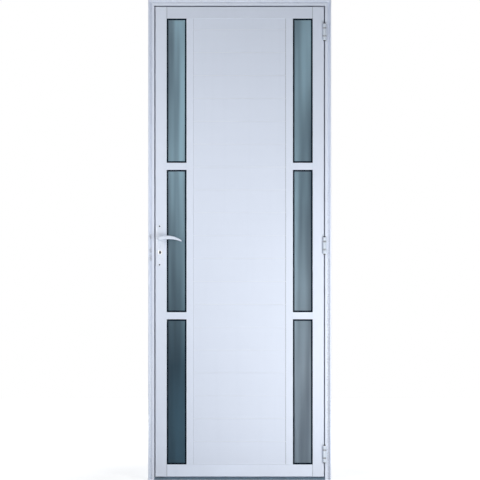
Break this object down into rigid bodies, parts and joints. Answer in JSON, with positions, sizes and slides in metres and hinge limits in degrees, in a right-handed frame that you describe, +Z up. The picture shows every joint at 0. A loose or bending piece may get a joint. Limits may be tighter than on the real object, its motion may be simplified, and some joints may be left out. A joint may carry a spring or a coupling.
{
  "type": "hinged aluminium slatted door with glazed side strips and frame",
  "caption": "White aluminium door in its frame: a leaf of level tongue-and-groove slats between glazed side strips, on hinges, with a turning lever handle.",
  "frame": {"origin": "middle of the threshold's underside, halfway through the frame's depth", "axes": "+Z up, the front with the hinge barrels faces -Y, the hinges are at +X and the handle at -X"},
  "size_m": [0.8, 0.132, 2.1],
  "materials": {
    "white_aluminium": "white powder coat, satin",
    "mill_aluminium": "bare extruded aluminium, dulled",
    "black_rubber": "matt black",
    "obscured_glass": "fine-textured obscured glass, grey green",
    "white_hinge": "white powder coat, satin",
    "white_handle": "white enamel, semi gloss",
    "zinc_steel": "zinc plated",
    "nickel_brass": "nickel plated, satin"
  },
  "bodies": {
    "frame": {"lock_jamb": "white_aluminium", "hinge_jamb": "white_aluminium", "head": "white_aluminium", "threshold": "mill_aluminium", "weather_seal": "black_rubber", "strike_plate": "zinc_steel", "frame_hinges": "white_hinge"},
    "leaf": {"lock_stile": "white_aluminium", "hinge_stile": "white_aluminium", "top_rail": "white_aluminium", "bottom_rail": "white_aluminium", "left_inner_stile": "white_aluminium", "right_inner_stile": "white_aluminium", "left_lower_cross_rail": "white_aluminium", "left_upper_cross_rail": "white_aluminium", "right_lower_cross_rail": "white_aluminium", "right_upper_cross_rail": "white_aluminium", "slats": "white_aluminium", "slat_beads": "white_aluminium", "left_lower_glass": "obscured_glass", "left_middle_glass": "obscured_glass", "left_upper_glass": "obscured_glass", "right_lower_glass": "obscured_glass", "right_middle_glass": "obscured_glass", "right_upper_glass": "obscured_glass", "left_gaskets": "black_rubber", "right_gaskets": "black_rubber", "left_glass_beads": "white_aluminium", "right_glass_beads": "white_aluminium", "leaf_hinges": "white_hinge", "lock_faceplate": "zinc_steel", "lock_case": "zinc_steel", "latch": "zinc_steel", "deadbolt": "zinc_steel", "lock_cylinder": "nickel_brass", "front_handle_plate": "white_handle", "back_handle_plate": "white_handle"},
    "lever": {"front_lever": "white_handle", "back_lever": "white_handle", "spindle": "zinc_steel"}
  },
  "joints": [
    {"name": "leaf_swing", "type": "hinge", "parent": "frame", "child": "leaf", "pos_m": [0.3705, -0.0365, 1.025], "axis": [0, 0, 1], "range_deg": [0, 170]},
    {"name": "lever_turn", "type": "hinge", "parent": "leaf", "child": "lever", "pos_m": [-0.348, -0.0125, 1.055], "axis": [0, 1, 0], "range_deg": [0, 45], "stiffness_Nm_per_rad": 1.5, "springref_deg": -11.46}
  ]
}
